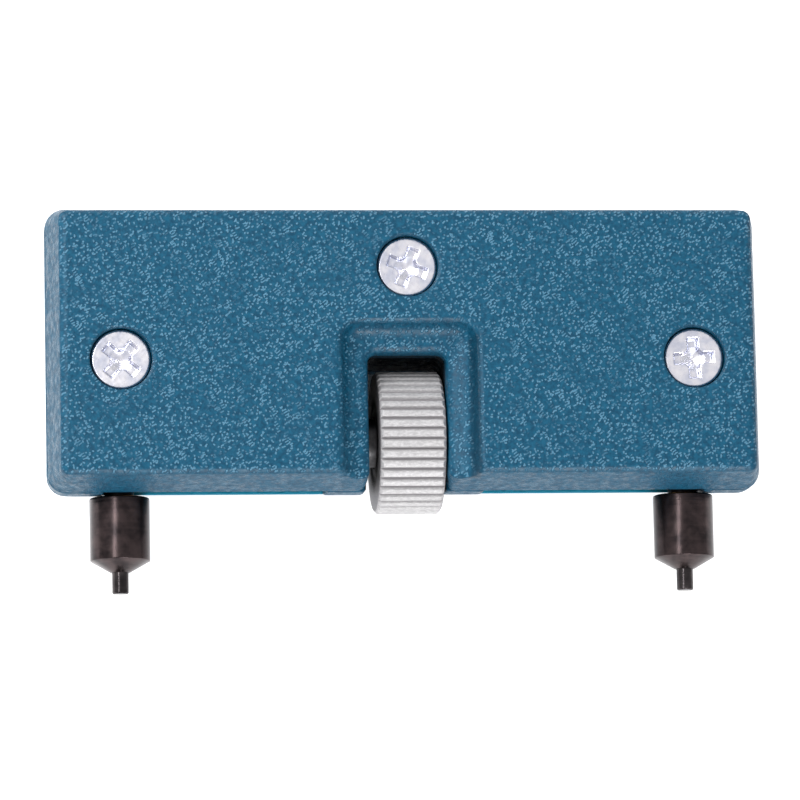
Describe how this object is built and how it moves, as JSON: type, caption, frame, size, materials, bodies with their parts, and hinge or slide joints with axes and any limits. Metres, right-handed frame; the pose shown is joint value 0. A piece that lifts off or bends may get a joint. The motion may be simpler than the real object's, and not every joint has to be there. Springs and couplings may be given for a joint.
{
  "type": "watch case back opener",
  "caption": "Hand tool for screwed watch case backs: a thumbwheel and a lead screw in a plastic case move two pin jaws along a slot.",
  "frame": {"origin": "under the middle of the tool, on the plane of the flat back", "axes": "+X along the case to the right jaw, +Y from the pins to the top edge, +Z from the back to the front face"},
  "size_m": [0.058, 0.031, 0.015],
  "materials": {
    "case_plastic": "satin, spark-eroded texture on the front face",
    "screw_steel": "bright zinc plated",
    "wheel_steel": "nickel plated, straight knurl",
    "axle_steel": "turned and threaded",
    "brass": "machined",
    "black_steel": "blackened, fine turning marks",
    "tip_steel": "hardened and blackened"
  },
  "bodies": {
    "case": {"front_shell": "case_plastic", "rear_shell": "case_plastic", "case_screw_left": "screw_steel", "case_screw_top": "screw_steel", "case_screw_right": "screw_steel", "left_end_bush": "brass", "right_end_bush": "brass"},
    "wheel": {"thumbwheel": "wheel_steel", "lead_screw": "axle_steel"},
    "left_jaw": {"left_jaw_nut": "brass", "left_pin_holder": "black_steel", "left_tip_pin": "tip_steel"},
    "right_jaw": {"right_jaw_nut": "brass", "right_pin_holder": "black_steel", "right_tip_pin": "tip_steel"}
  },
  "joints": [
    {"name": "thumbwheel_spin", "type": "hinge", "parent": "case", "child": "wheel", "pos_m": [0, -0.0033, 0.0075], "axis": [1, 0, 0], "range_deg": [0, 10780]},
    {"name": "left_jaw_slide", "type": "slide", "parent": "case", "child": "left_jaw", "axis": [1, 0, 0], "range_m": [0, 0.015]},
    {"name": "right_jaw_slide", "type": "slide", "parent": "case", "child": "right_jaw", "axis": [-1, 0, 0], "range_m": [0, 0.015]}
  ],
  "couplings": [
    {"joint": "left_jaw_slide", "follows": "thumbwheel_spin", "m_per_rad": 0.000079577},
    {"joint": "right_jaw_slide", "follows": "thumbwheel_spin", "m_per_rad": 0.000079577}
  ]
}
